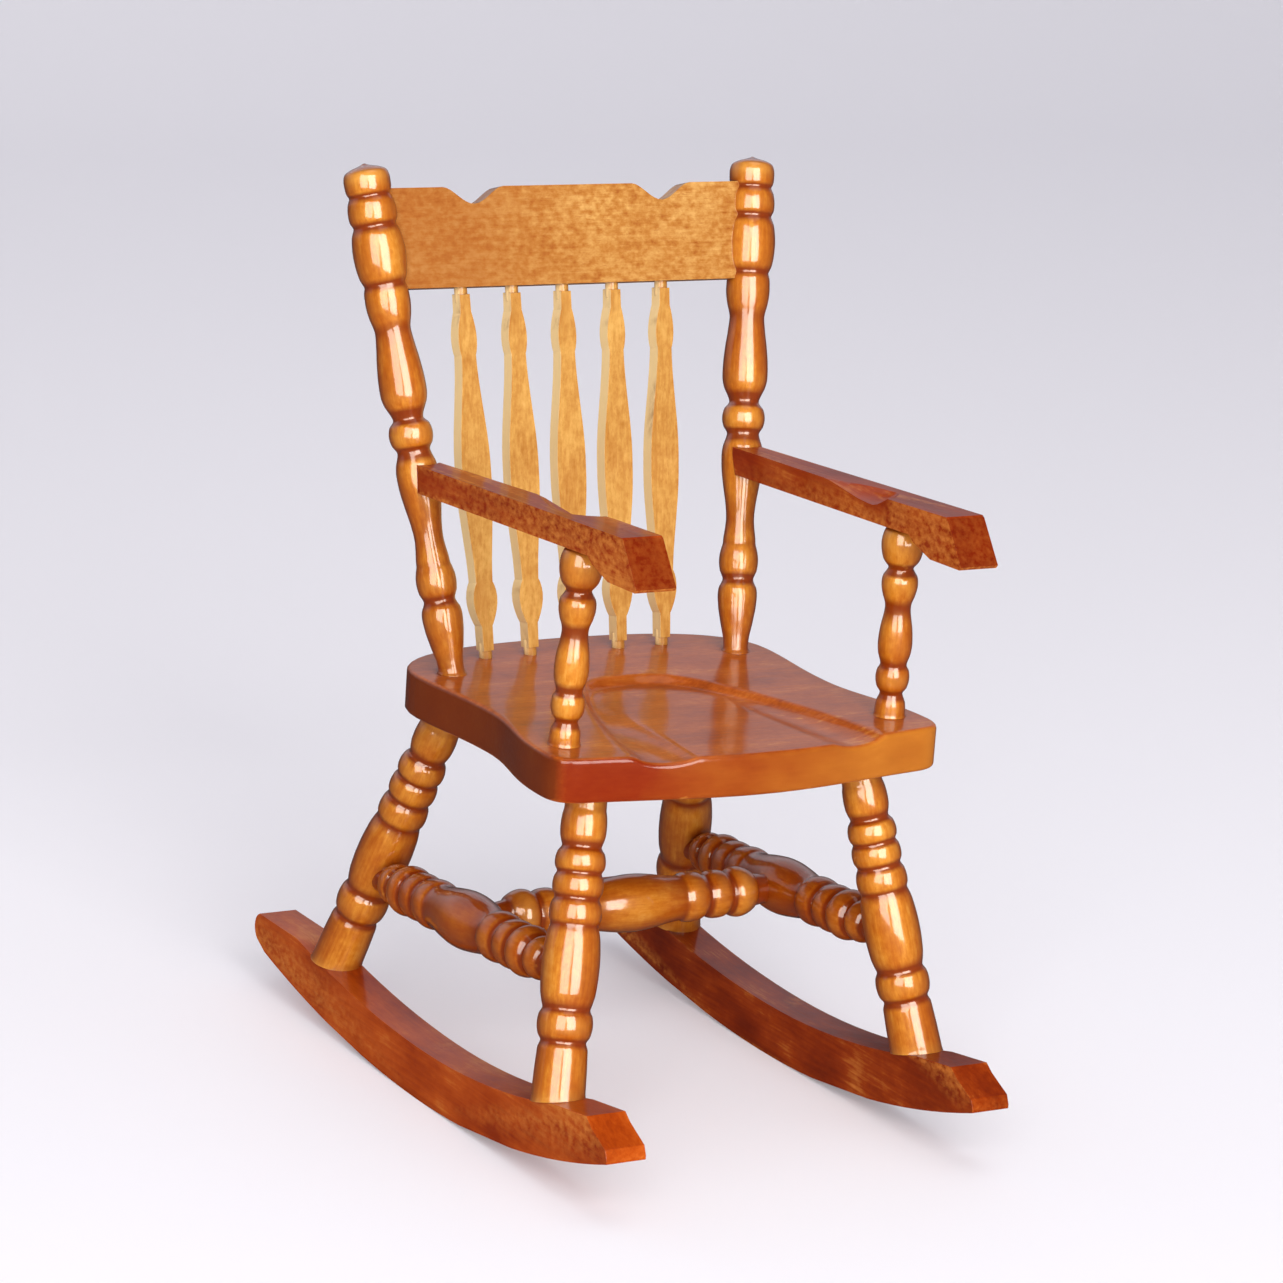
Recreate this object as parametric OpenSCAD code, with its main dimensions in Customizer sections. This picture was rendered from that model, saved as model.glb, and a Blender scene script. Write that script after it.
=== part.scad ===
// Dolls house rocking chair, about 1:12 scale.
// Glued wooden assembly: a scooped seat board on four turned legs, three turned
// stretchers and two sawn rockers, with two raked turned posts, a notched crest
// rail, five sawn slats, and two shaped arms on turned supports.
//
// Millimetres, +Z up. The sitter faces -Y, and +X is on the right when the chair
// is looked at from the front. The origin is on the floor, midway between the
// rockers, directly under the lowest line of both rocker arcs.
// Nothing is screwed or pinned: every joint is a round or square end glued into
// a blind socket, with glue_gap all round.

/* [Seat] */
// height of the seat's top face above the floor
seat_height = 50.4; // [40:0.2:65]
// thickness of the seat board
seat_thick = 5.4; // [4:0.1:8]
// half width across the back of the seat
seat_rear_half = 25; // [22:0.5:30]
// half width at the waist of the seat
seat_waist_half = 24; // [20:0.5:28]
// half width across the front corners
seat_front_half = 26.7; // [24:0.5:32]
// rear edge of the seat on the middle line
seat_rear_y = 22.6; // [20:0.2:26]
// front edge of the seat on the middle line
seat_front_y = -31.3; // [-36:0.2:-28]
// depth of the scoop at its rear wall
scoop_depth = 1.0; // [0.4:0.1:2]
// depth of the scoop floor where it runs out at the front
scoop_front_depth = 0.25; // [0.1:0.05:0.8]
// depth of the two thigh hollows at the front edge
hollow_depth = 0.95; // [0.4:0.05:1.5]

/* [Back] */
// distance from the middle to a post where it leaves the seat
post_x = 20.2; // [18:0.2:22]
// front-to-back place of the posts on the seat
post_y = 10.5; // [8:0.5:14]
// outward lean of the posts
post_splay = 7.0; // [0:0.5:10]
// backward lean of the posts
post_rake = 15.2; // [5:0.2:20]
// visible length of a post above the seat
post_len = 62.6; // [50:0.1:75]
// height of the crest rail's lower edge above the seat
crest_bottom = 45.2; // [40:0.1:50]
// height of the crest rail's upper edge above the seat
crest_top = 57.0; // [52:0.1:62]
// thickness of the crest rail
crest_thick = 2.6; // [1.8:0.1:3.4]
// how far the crest's front face stands in front of the post axes
crest_proud = 0.9; // [0:0.1:1.5]
// half width of the opening of a crest notch
notch_half = 4.2; // [2:0.1:5]
// depth of a crest notch
notch_depth = 2.1; // [1:0.1:3]
// distance from the middle to a crest notch
notch_x = 13.3; // [10:0.1:16]

/* [Slats] */
// place of the slats on the seat, front to back
slat_y = 16; // [13:0.5:19]
// spacing of the slats at the seat
slat_pitch_low = 6.3; // [5:0.1:7]
// spacing of the slats under the crest rail
slat_pitch_high = 7.1; // [5:0.1:8]
// sideways drift of the slats where they meet the hand-fitted crest
slat_drift = -1.1; // [-1.5:0.1:1.5]
// thickness of a slat
slat_thick = 2.0; // [1.2:0.1:2.4]
// widest part of a slat
slat_belly = 4.0; // [3:0.1:6]

/* [Arms] */
// outer face of an arm from the middle
arm_outer_x = 24.4; // [22:0.1:27]
// width of an arm at its front
arm_width = 5.2; // [4:0.1:7]
// depth of the slim part of an arm
arm_thick = 3.4; // [2.5:0.1:5]
// height of the arm's top face above the seat at the front
arm_front_height = 27.7; // [24:0.1:32]
// upward slope of the arm towards the front
arm_slope = 2.9; // [0:0.1:6]

/* [Base] */
// distance from the middle to a rocker's centre plane
rocker_x = 25; // [22:0.5:28]
// radius of the rolling edge of a rocker, ahead of its lowest line
rocker_front_radius = 138; // [120:2:180]
// radius of the rolling edge of a rocker, behind its lowest line
rocker_rear_radius = 184; // [150:2:230]
// height of the rocker plank
rocker_height = 6.5; // [5:0.1:9]
// thickness of the rocker plank
rocker_thick = 5.2; // [4:0.1:7]
// radius of a leg at its foot
leg_foot_r = 3.15; // [2.6:0.05:3.8]
// radius of a stretcher at the middle of its barrel
stretcher_r = 3.6; // [2.8:0.1:4.2]

/* [Hidden] */
$fn = 96;

glue_gap = 0.05;
seat_under = seat_height - seat_thick;
honey = [0.80, 0.42, 0.12];
golden = [0.86, 0.55, 0.22];
russet = [0.55, 0.22, 0.08];
brown = [0.66, 0.33, 0.14];

// ---------------------------------------------------------------- placing

// Stands the child's +Z axis along the line from point a to point b, tipping
// it over without turning it about itself.
module along(a, b) {
  d = b - a;
  heading = atan2(d[1], d[0]);
  tip = atan2(norm([d[0], d[1]]), d[2]);
  translate(a)
    rotate([0, tip, heading])
      rotate([0, 0, -heading])
        children();
}

// Mirrors the child to the left for side = -1, leaves it for side = 1.
module on_side(side) {
  if (side < 0)
    mirror([1, 0, 0])
      children();
  else
    children();
}

// ---------------------------------------------------------------- turning

// Bulge fullness of a round bead; a fullness of 1 is a soft swelling.
bead = 0.7;

// One stretch of a turned outline, from (s0, r0) to the end given by the row.
// Row: [end position, end radius, added bulge, bulge fullness, steps].
function stretch(s0, r0, row) = [
  for (i = [1 : row[4]])
    let (t = (1 - cos(180 * i / row[4])) / 2)
    let (ease = (1 - cos(180 * t)) / 2)
    let (hump = row[2] * pow(max(0, sin(180 * t)), row[3]))
    [r0 + (row[1] - r0) * ease + hump, s0 + (row[0] - s0) * t]
];

function outline(s0, r0, rows, i = 0) =
  i >= len(rows) ? [] :
  concat(stretch(s0, r0, rows[i]), outline(rows[i][0], rows[i][1], rows, i + 1));

function last_s(rows) = rows[len(rows) - 1][0];

// A solid turned about +Z from position s0 with radius r0 through the rows.
module turned(s0, r0, rows) {
  rotate_extrude()
    polygon(concat([[0, s0], [r0, s0]], outline(s0, r0, rows), [[0, last_s(rows)]]));
}

// ---------------------------------------------------------------- rockers

rocker_front_y = -46.2;
rocker_front_top_y = -41.0;
rocker_rear_y = 46.2;
rocker_nose_r = 2.0;
rocker_flat_y = 34;
rocker_front_flat_y = -33.5;
rocker_front_drop = 1.05;
far = 60;

// Radius of the rolling edge ahead of (negative y) and behind the lowest line.
function roll_radius(y) = y < 0 ? rocker_front_radius : rocker_rear_radius;
// Height above the floor, at a place y, of a circle about the rolling centre.
function arc_height(y, radius) = roll_radius(y) - sqrt(radius * radius - y * y);
function rocker_low(y) = arc_height(y, roll_radius(y));
function rocker_top(y) = arc_height(y, roll_radius(y) - rocker_height);

// Drum lying along X whose axis is the rolling centre; inset shrinks it.
module arc_drum(radius, inset, half) {
  translate([-half, 0, radius])
    rotate([0, 90, 0])
      cylinder(h = 2 * half, r = radius - inset, $fn = 360);
}

// Everything ahead of (-1) or behind (1) the lowest line.
module half_space(way, half) {
  translate([-half, way < 0 ? -far : 0, -1])
    cube([2 * half, far, far]);
}

// One stretch of a rocker, a curved strip of even height.
module rocker_strip(way, radius) {
  difference() {
    intersection() {
      arc_drum(radius, 0, rocker_thick / 2);
      half_space(way, rocker_thick / 2);
    }
    arc_drum(radius, rocker_height, rocker_thick);
  }
}

// Side outline that cuts the slanted front end and the tapered, rounded heel.
module rocker_ends() {
  nose_y = rocker_rear_y - rocker_nose_r;
  nose_z = rocker_low(nose_y) + rocker_nose_r + 0.5;
  nose_steps = 10;
  front_top = rocker_top(rocker_front_top_y) - rocker_front_drop;
  front_low = rocker_low(rocker_front_y);
  polygon(concat(
    [[rocker_front_y, front_low - 3],
      [rocker_front_y, front_low + 0.5],
      [rocker_front_y + 0.5, front_low + 1.6],
      [rocker_front_top_y - 1.3, front_top - 0.9],
      [rocker_front_top_y, front_top],
      [rocker_front_flat_y, rocker_top(rocker_front_flat_y) + 0.02],
      [rocker_front_flat_y + 3, rocker_top(rocker_front_flat_y) + 4],
      [rocker_flat_y - 3, rocker_top(rocker_flat_y) + 4],
      [rocker_flat_y, rocker_top(rocker_flat_y) + 0.02]],
    [for (i = [0 : nose_steps])
      let (turn = 70 - i * 140 / nose_steps)
      [nose_y + rocker_nose_r * cos(turn), nose_z + rocker_nose_r * sin(turn)]],
    [[nose_y - 5, rocker_low(nose_y - 5) - 1],
      [0, -1]]));
}

module rocker_blank() {
  intersection() {
    union() {
      rocker_strip(-1, rocker_front_radius);
      rocker_strip(1, rocker_rear_radius);
    }
    rotate([90, 0, 90])
      linear_extrude(height = 2 * rocker_thick, center = true)
        rocker_ends();
  }
}

module rocker(side) {
  color(russet)
    on_side(side)
      difference() {
        translate([rocker_x, 0, 0])
          rocker_blank();
        for (ends = [front_leg_ends, rear_leg_ends])
          foot_pin(ends, foot_pin_r + glue_gap, foot_pin_len + glue_gap);
      }
}

// ---------------------------------------------------------------- legs

// Each leg runs from its foot on the rocker to the underside of the seat.
front_foot_y = -29.9;
rear_foot_y = 27.7;
front_leg_ends = [[rocker_x, front_foot_y, rocker_top(front_foot_y)], [18.7, -21.3, seat_under]];
rear_leg_ends = [[rocker_x, rear_foot_y, rocker_top(rear_foot_y)], [17.8, 14.9, seat_under]];
leg_ref = 37.2;
leg_tenon_r = 2.45;
leg_tenon_len = 3.2;
foot_pin_r = 1.2;
foot_pin_len = 3.0;
foot_spread = 2;

function leg_len(ends) = norm(ends[1] - ends[0]);

// Features up the leg from the foot: plain foot, bead, long barrel, three
// beads, a short tapered collar and the plain end that enters the seat.
function leg_rows(k) = [
  [5.9 * k, 3.0, 0.03, 1, 4],
  [6.9 * k, 2.8, 0, 1, 4],
  [10.6 * k, 2.86, 0.46, bead, 10],
  [20.7 * k, 2.86, 0.56, 0.7, 14],
  [23.85 * k, 2.68, 0.34, bead, 9],
  [26.85 * k, 2.62, 0.38, bead, 9],
  [29.8 * k, 2.42, 0.46, bead, 9],
  [34.2 * k, 2.5, 0.26, 0.8, 8],
  [leg_ref * k, leg_tenon_r, 0, 1, 2],
  [leg_ref * k + leg_tenon_len, leg_tenon_r, 0, 1, 1]
];

// The glued pin that runs on from the foot down into the rocker.
module foot_pin(ends, radius, length) {
  along(ends[0], ends[1])
    translate([0, 0, -length])
      cylinder(h = length + foot_spread, r = radius);
}

module leg_blank(ends) {
  along(ends[0], ends[1])
    turned(-foot_spread, leg_foot_r, concat([[0, leg_foot_r, 0, 1, 1]],
      leg_rows(leg_len(ends) / leg_ref)));
}

// A leg: foot cut to sit on the rocker's curve, sockets bored for stretchers.
module leg(ends, stretcher_at, stretcher_to) {
  color(honey) {
    difference() {
      intersection() {
        leg_blank(ends);
        arc_drum(roll_radius(ends[0][1]), rocker_height + 0.01, far);
      }
      along(stretcher_at, stretcher_to)
        cylinder(h = leg_foot_r + 2, r = stretcher_end_r + glue_gap);
      along(stretcher_at, stretcher_to)
        translate([0, 0, side_end_from - glue_gap])
          cylinder(h = 8, r = stretcher_end_r + glue_gap);
    }
    foot_pin(ends, foot_pin_r, foot_pin_len);
  }
}

// ---------------------------------------------------------------- stretchers

// The side stretchers slope down a little from front legs to rear legs.
function leg_point(ends, share) = ends[0] + (ends[1] - ends[0]) * share;
side_front = leg_point(front_leg_ends, 0.405);
side_rear = leg_point(rear_leg_ends, 0.345);
side_mid = (side_front + side_rear) / 2;
side_mid_left = [-side_mid[0], side_mid[1], side_mid[2]];
stretcher_end_r = 1.9;
side_end_from = 1.0;
cross_end_from = 1.4;

// Features from the middle of a stretcher outwards: half barrel, three beads,
// then a last row and the plain end that enters its socket. The last row is a
// fourth bead against the leg on a side stretcher, a neck on the cross stretcher.
side_last_row = [20.3, stretcher_end_r, 0.6, bead, 8];
cross_last_row = [19.4, stretcher_end_r, 0, 1, 4];
function stretcher_rows(half, last_row) = [
  [7.0, 2.9, 0, 1, 8],
  [10.4, 2.66, 0.34, bead, 9],
  [13.8, 2.6, 0.4, bead, 9],
  [17.4, 2.2, 0.75, bead, 10],
  last_row,
  [half, stretcher_end_r, 0, 1, 1]
];

module stretcher_blank(a, b, end_from, last_row) {
  mid = (a + b) / 2;
  rows = stretcher_rows(norm(b - a) / 2 - end_from, last_row);
  along(mid, b)
    union() {
      turned(0, stretcher_r, rows);
      mirror([0, 0, 1])
        turned(0, stretcher_r, rows);
    }
}

module side_stretcher(side) {
  color(honey)
    on_side(side)
      difference() {
        stretcher_blank(side_front, side_rear, side_end_from, side_last_row);
        along(side_mid, side_mid - [1, 0, 0])
          translate([0, 0, cross_end_from - glue_gap])
            cylinder(h = 6, r = stretcher_end_r + glue_gap);
      }
}

module cross_stretcher() {
  color(honey)
    stretcher_blank(side_mid_left, side_mid, cross_end_from, cross_last_row);
}

// ---------------------------------------------------------------- seat

function bez(p, t) =
  p[0] * pow(1 - t, 3) + p[1] * 3 * pow(1 - t, 2) * t
  + p[2] * 3 * (1 - t) * t * t + p[3] * pow(t, 3);

// Right-hand edge of the seat from the rear middle round to the front middle.
corner_y = -24;
seat_curves = [
  [[0, seat_rear_y], [13, seat_rear_y], [seat_rear_half + 0.2, 20.5], [seat_rear_half + 0.1, 10.5]],
  [[seat_rear_half + 0.1, 10.5], [seat_rear_half, 4.5], [seat_waist_half, 1.5], [seat_waist_half, -5.5]],
  [[seat_waist_half, -5.5], [seat_waist_half, -12.5], [seat_front_half, -15.5], [seat_front_half, corner_y]],
  [[seat_front_half, corner_y], [seat_front_half, -26.8], [25.6, -28], [22.6, -28.3]],
  [[22.6, -28.3], [15, -29.4], [8, seat_front_y], [0, seat_front_y]]
];
edge_steps = 14;
seat_half = [for (c = seat_curves) for (i = [0 : edge_steps - 1]) bez(c, i / edge_steps)];

// Right-hand edge of the scoop, an arch that opens through the front edge.
scoop_rear_y = 3.1;
scoop_curves = [
  [[0, scoop_rear_y], [3.5, scoop_rear_y], [6.2, 2.2], [8.4, -2]],
  [[8.4, -2], [11, -7], [14.6, -16], [16.4, -26]],
  [[16.4, -26], [16.8, -28.5], [17, -31], [17, -34]]
];
scoop_half = [for (c = scoop_curves) for (i = [0 : edge_steps - 1]) bez(c, i / edge_steps)];

function both_sides(half) = concat(half,
  [for (i = [len(half) - 1 : -1 : 1]) [-half[i][0], half[i][1]]]);

hollow_r = 12;
hollow_rear = [9, -4];
hollow_front = [13.8, -33];
// How far a cutting shape runs past the wood.
tool = 10;

// Depth of the scoop's sloping floor below the seat's top, at a place y.
function floor_depth(y) = scoop_depth
  - (scoop_depth - scoop_front_depth) * (scoop_rear_y - y) / (scoop_rear_y - seat_front_y);

// Tips the child about the rear of the scoop, on to its sloping floor.
module on_scoop_floor() {
  fall = atan2(scoop_depth - scoop_front_depth, scoop_rear_y - seat_front_y);
  translate([0, scoop_rear_y, seat_height - scoop_depth])
    rotate([-fall, 0, 0])
      translate([0, -scoop_rear_y, 0])
        children();
}

// The shape cut from the top of the seat: a floor that falls towards the back
// and a trough for each thigh that deepens forwards, inside walls square to
// that floor.
module scoop() {
  hollow_rear_z = seat_height - floor_depth(hollow_rear[1]) + hollow_r;
  intersection() {
    on_scoop_floor()
      translate([0, 0, -tool / 2])
        linear_extrude(height = tool)
          polygon(both_sides(scoop_half));
    union() {
      on_scoop_floor()
        translate([-seat_front_half, seat_front_y - tool, 0])
          cube([2 * seat_front_half, scoop_rear_y - seat_front_y + 2 * tool, tool]);
      for (side = [-1, 1])
        along([side * hollow_rear[0], hollow_rear[1], hollow_rear_z],
          [side * hollow_front[0], hollow_front[1], seat_height - hollow_depth + hollow_r])
          cylinder(h = hollow_rear[1] - seat_front_y + tool, r = hollow_r);
    }
  }
}

module seat() {
  color(brown)
    difference() {
      translate([0, 0, seat_under])
        linear_extrude(height = seat_thick)
          polygon(both_sides(seat_half));
      scoop();
      for (side = [-1, 1])
        on_side(side) {
          leg_socket(front_leg_ends);
          leg_socket(rear_leg_ends);
          post_socket();
          support_socket();
        }
      for (i = [-2 : 2])
        slat_socket(i, -slat_pin_len - glue_gap, 1);
    }
}

socket_start = 1.3;

// Blind socket for a leg, opened from just below the seat.
module leg_socket(ends) {
  along(ends[1], ends[1] + ends[1] - ends[0])
    translate([0, 0, -socket_start])
      cylinder(h = leg_tenon_len + glue_gap + socket_start, r = leg_tenon_r + glue_gap);
}

// ---------------------------------------------------------------- posts

post_dir = [tan(post_splay), tan(post_rake), 1];
post_base = [post_x, post_y, seat_height];
post_base_r = 1.58;
post_tenon_len = 3.6;
function post_at(z) = post_base + post_dir * (z - seat_height);

// Features up the post: tapered foot, bulb, bead, neck, swelling at the arm,
// bead, long vase, bead, barrel behind the crest rail, bead and button top.
post_rows = [
  [0, post_base_r, 0, 1, 1],
  [7.0, 2.48, 0, 1, 6],
  [9.2, 2.02, 0.06, 1, 5],
  [13.0, 2.12, 0.4, bead, 9],
  [16.6, 1.83, 0, 1, 5],
  [24.2, 2.6, 0, 1, 9],
  [27.7, 2.12, 0.08, 1, 6],
  [31.2, 2.05, 0.62, bead, 10],
  [34.9, 2.86, 0.08, 1, 7],
  [42.3, 2.28, 0.04, 1, 9],
  [46.4, 2.72, 0.14, 1, 7],
  [47.9, 2.6, 0.06, 1, 4],
  [55.0, 2.66, 0.6, bead, 12],
  [58.7, 2.5, 0.4, bead, 9],
  [61.6, 2.55, 0.36, bead, 8],
  [62.2, 1.3, 0.25, 1, 5],
  [post_len, 0.5, 0, 1, 3]
];

module post_socket() {
  along(post_base, post_at(seat_height + 1))
    translate([0, 0, -post_tenon_len - glue_gap])
      cylinder(h = post_tenon_len + socket_start, r = post_base_r + glue_gap);
}

module back_post(side) {
  color(honey)
    on_side(side)
      difference() {
        along(post_base, post_at(seat_height + 1))
          turned(-post_tenon_len, post_base_r, post_rows);
        crest_board(glue_gap);
        arm_pin(arm_pin_r + glue_gap, glue_gap);
      }
}

// ---------------------------------------------------------------- crest rail

// The crest leans with the posts; u runs up the board from its lower edge.
crest_short = 2.1;
crest_len = (crest_top - crest_bottom) / cos(post_rake);
crest_low_half = post_at(seat_height + crest_bottom)[0] - crest_short;
crest_high_half = post_at(seat_height + crest_top)[0] - crest_short;
crest_back = crest_thick - crest_proud;

module crest_plane() {
  translate([0, post_at(seat_height + crest_bottom)[1], seat_height + crest_bottom])
    rotate([90 - post_rake, 0, 0])
      translate([0, 0, -crest_back])
        children();
}

// Plain board with its two let-in ends; grow widens it to make the sockets.
module crest_board(grow) {
  crest_plane()
    translate([0, 0, -grow])
      linear_extrude(height = crest_thick + 2 * grow)
        polygon([[-crest_low_half - grow, -grow], [crest_low_half + grow, -grow],
          [crest_high_half + grow, crest_len + grow],
          [-crest_high_half - grow, crest_len + grow]]);
}

// Lower edge of a crest notch, with rounded shoulders and a rounded bottom.
notch_steps = 16;
notch_round = 1.8;
function notch_line(x) = [
  for (i = [0 : notch_steps])
    let (t = i / notch_steps)
    [x + notch_half * (2 * t - 1), crest_len - notch_depth * pow(sin(180 * t), notch_round)]
];

module crest_notch(x) {
  crest_plane()
    translate([0, 0, -1])
      linear_extrude(height = crest_thick + 2)
        polygon(concat(notch_line(x), [[x + notch_half, crest_len + 1], [x - notch_half, crest_len + 1]]));
}

module crest_rail() {
  color(golden)
    difference() {
      crest_board(0);
      crest_notch(-notch_x);
      crest_notch(notch_x);
      for (i = [-2 : 2])
        slat_socket(i, slat_len(i) - 1, slat_len(i) + slat_pin_len + glue_gap);
    }
}

// ---------------------------------------------------------------- slats

slat_pin_r = 0.8;
slat_pin_len = 2.2;
slat_pin_show = 0.9;

function slat_foot(i) = [i * slat_pitch_low, slat_y, seat_height];
function slat_head(i) = [i * slat_pitch_high + slat_drift,
  post_at(seat_height + crest_bottom)[1] + (crest_back - crest_proud) / 2 / cos(post_rake),
  seat_height + crest_bottom];
function slat_len(i) = norm(slat_head(i) - slat_foot(i));

slat_neck_half = 0.7;

// Half widths from either end of a slat to its middle: plain neck, bulge,
// waist, then the long swell. neck and waist are where those two end.
function slat_side(half, neck, waist, waist_half, bulge) =
  concat([[slat_neck_half, slat_pin_show]],
    outline(slat_pin_show, slat_neck_half, [
      [neck, slat_neck_half + 0.04, 0, 1, 2],
      [waist, waist_half, bulge, 0.8, 10],
      [half, slat_belly / 2, 0.08, 1, 10]]));

// The lower bulge is fuller, and further from its end, than the upper one.
module slat_profile(len) {
  low = slat_side(len / 2, 4.0, 9.4, 1.15, 0.68);
  high = slat_side(len / 2, 3.1, 8.4, 1.0, 0.38);
  upper = [for (i = [len(high) - 2 : -1 : 0]) [high[i][0], len - high[i][1]]];
  edge = concat(low, upper);
  polygon(concat(edge, [for (i = [len(edge) - 1 : -1 : 0]) [-edge[i][0], edge[i][1]]]));
}

module slat_line(i) {
  translate(slat_foot(i))
    multmatrix(slat_frame(i))
      children();
}

// Axes of a slat: width along X, length up its slant, face square to both.
function slat_frame(i) =
  let (up = (slat_head(i) - slat_foot(i)) / slat_len(i))
  let (out = cross([1, 0, 0], up) / norm(cross([1, 0, 0], up)))
  let (wide = cross(up, out))
  [[wide[0], up[0], out[0], 0], [wide[1], up[1], out[1], 0], [wide[2], up[2], out[2], 0], [0, 0, 0, 1]];

module slat_pin(from, to, radius) {
  translate([0, from, 0])
    rotate([-90, 0, 0])
      cylinder(h = to - from, r = radius);
}

module slat_socket(i, from, to) {
  slat_line(i)
    slat_pin(from, to, slat_pin_r + glue_gap);
}

module slat(i) {
  color(golden)
    slat_line(i)
      union() {
        linear_extrude(height = slat_thick, center = true)
          slat_profile(slat_len(i));
        slat_pin(-slat_pin_len, slat_pin_show + 1, slat_pin_r);
        slat_pin(slat_len(i) - slat_pin_show - 1, slat_len(i) + slat_pin_len, slat_pin_r);
      }
}

// ---------------------------------------------------------------- arms

arm_front_y = -35.2;
arm_nose_y = -38.8;
arm_rear_y = 15.6;
arm_block_y = -27.4;
arm_block_low_y = -32.3;
arm_block_depth = 5.6;
arm_rear_width = 3.6;
arm_mid_width = 4.1;
arm_mid_y = 2;
arm_wide_y = -24;
arm_pin_r = 1.0;
arm_pin_len = 1.7;
arm_cope_r = 2.66;
thumb_rear_y = -5.5;
thumb_deep_y = -18.5;
thumb_front_y = -24;
thumb_lift = 4.3;
thumb_depth = 1.3;

function arm_top(y) = seat_height + arm_front_height - (y - arm_front_y) * tan(arm_slope);
function arm_under(y) = arm_top(y) - arm_thick;
arm_post = post_at((arm_top(15.5) + arm_under(15.5)) / 2);
arm_pin_front = [arm_post[0] - 0.4, arm_post[1] - 6, arm_post[2] + 6 * tan(arm_slope)];

// Side outline of an arm: slim board with a deeper block at the front.
module arm_side() {
  polygon([[arm_rear_y, arm_top(arm_rear_y)], [arm_front_y + 0.4, arm_top(arm_front_y + 0.4)],
    [arm_front_y, arm_top(arm_front_y) - 0.25],
    [arm_nose_y, arm_top(arm_front_y) - arm_block_depth + 0.45],
    [arm_nose_y + 0.35, arm_top(arm_front_y) - arm_block_depth + 0.05],
    [arm_block_low_y, arm_top(arm_front_y) - arm_block_depth - 0.1],
    [arm_block_y - 1.2, arm_under(arm_block_y) - 0.75],
    [arm_block_y, arm_under(arm_block_y)], [arm_rear_y, arm_under(arm_rear_y)]]);
}

// Plan outline of an arm: straight outer edge, inner edge narrowing backwards.
module arm_plan() {
  polygon([[arm_outer_x, arm_nose_y - 1], [arm_outer_x, arm_rear_y],
    [arm_outer_x - arm_rear_width, arm_rear_y], [arm_outer_x - arm_mid_width, arm_mid_y],
    [arm_outer_x - arm_width, arm_wide_y], [arm_outer_x - arm_width, arm_nose_y - 1]]);
}

module arm_pin(radius, grow) {
  along(arm_pin_front, arm_post)
    cylinder(h = norm(arm_post - arm_pin_front) - arm_cope_r + arm_pin_len + grow, r = radius);
}

// Gouge for the hand along the inner top edge: it runs out to a point at the
// rear, deepens forwards and ends round.
module thumb_scoop() {
  inner = arm_outer_x - arm_width;
  along([inner, thumb_rear_y, arm_top(thumb_rear_y) + thumb_lift],
    [inner, thumb_front_y, arm_top(thumb_front_y) + thumb_lift])
    turned(0, thumb_lift, [
      [thumb_rear_y - thumb_deep_y, thumb_lift + thumb_depth, 0, 1, 6],
      [thumb_rear_y - thumb_front_y, thumb_lift - 0.5, 0, 1, 6]]);
}

module arm(side) {
  color(russet)
    on_side(side) {
      difference() {
        intersection() {
          rotate([90, 0, 90])
            linear_extrude(height = 40)
              arm_side();
          translate([0, 0, seat_height])
            linear_extrude(height = 40)
              arm_plan();
        }
        thumb_scoop();
        support_pin(support_pin_r + glue_gap, support_pin_len + glue_gap);
        along(post_base, post_at(seat_height + 1))
          cylinder(h = 40, r = arm_cope_r + glue_gap);
      }
      difference() {
        arm_pin(arm_pin_r, 0);
        along(arm_pin_front, arm_post)
          translate([0, 0, -1])
            cylinder(h = 2, r = 2);
      }
    }
}

// ---------------------------------------------------------------- arm supports

support_foot = [22.5, -21.7, seat_height];
support_head = [22, -22.3, arm_under(-22.3)];
support_end_r = 1.75;
support_pin_r = 1.2;
support_pin_len = 1.8;
support_tenon_len = 2.2;

// Features up the support: plain foot, bead, vase, bead, ball under the arm.
support_rows = [
  [0, support_end_r, 0, 1, 1],
  [1.4, 1.8, 0.1, 1, 3],
  [3.0, 1.5, 0, 1, 4],
  [6.2, 1.66, 0.46, bead, 9],
  [9.4, 2.06, 0.1, 1, 6],
  [13.6, 1.66, 0, 1, 7],
  [16.5, 2.2, 0, 1, 6],
  [18.6, 1.7, 0.08, 1, 6],
  [23.6, 1.9, 0.76, bead, 12],
  [26, 1.9, 0, 1, 1]
];

module support_pin(radius, length) {
  along(support_head, support_head + support_head - support_foot)
    translate([0, 0, -1])
      cylinder(h = length + 1, r = radius);
}

module support_socket() {
  along(support_foot, support_head)
    translate([0, 0, -support_tenon_len - glue_gap])
      cylinder(h = support_tenon_len + socket_start, r = support_end_r + glue_gap);
}

module arm_support(side) {
  color(honey)
    on_side(side) {
      difference() {
        along(support_foot, support_head)
          turned(-support_tenon_len, support_end_r, support_rows);
        translate([0, support_head[1], support_head[2] - 0.01])
          rotate([-arm_slope, 0, 0])
            translate([0, -20, 0])
              cube([40, 40, 10]);
      }
      support_pin(support_pin_r, support_pin_len);
    }
}

// ---------------------------------------------------------------- nodes

seat();
back_post(-1);  // back_post_left
back_post(1);  // back_post_right
crest_rail();
slat(-2);  // slat_1
slat(-1);  // slat_2
slat(0);  // slat_3
slat(1);  // slat_4
slat(2);  // slat_5
arm(-1);  // arm_left
arm(1);  // arm_right
arm_support(-1);  // arm_support_left
arm_support(1);  // arm_support_right
on_side(-1) leg(front_leg_ends, side_front, side_rear);  // front_leg_left
on_side(1) leg(front_leg_ends, side_front, side_rear);  // front_leg_right
on_side(-1) leg(rear_leg_ends, side_rear, side_front);  // rear_leg_left
on_side(1) leg(rear_leg_ends, side_rear, side_front);  // rear_leg_right
side_stretcher(-1);  // side_stretcher_left
side_stretcher(1);  // side_stretcher_right
cross_stretcher();
rocker(-1);  // rocker_left
rocker(1);  // rocker_right
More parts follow.
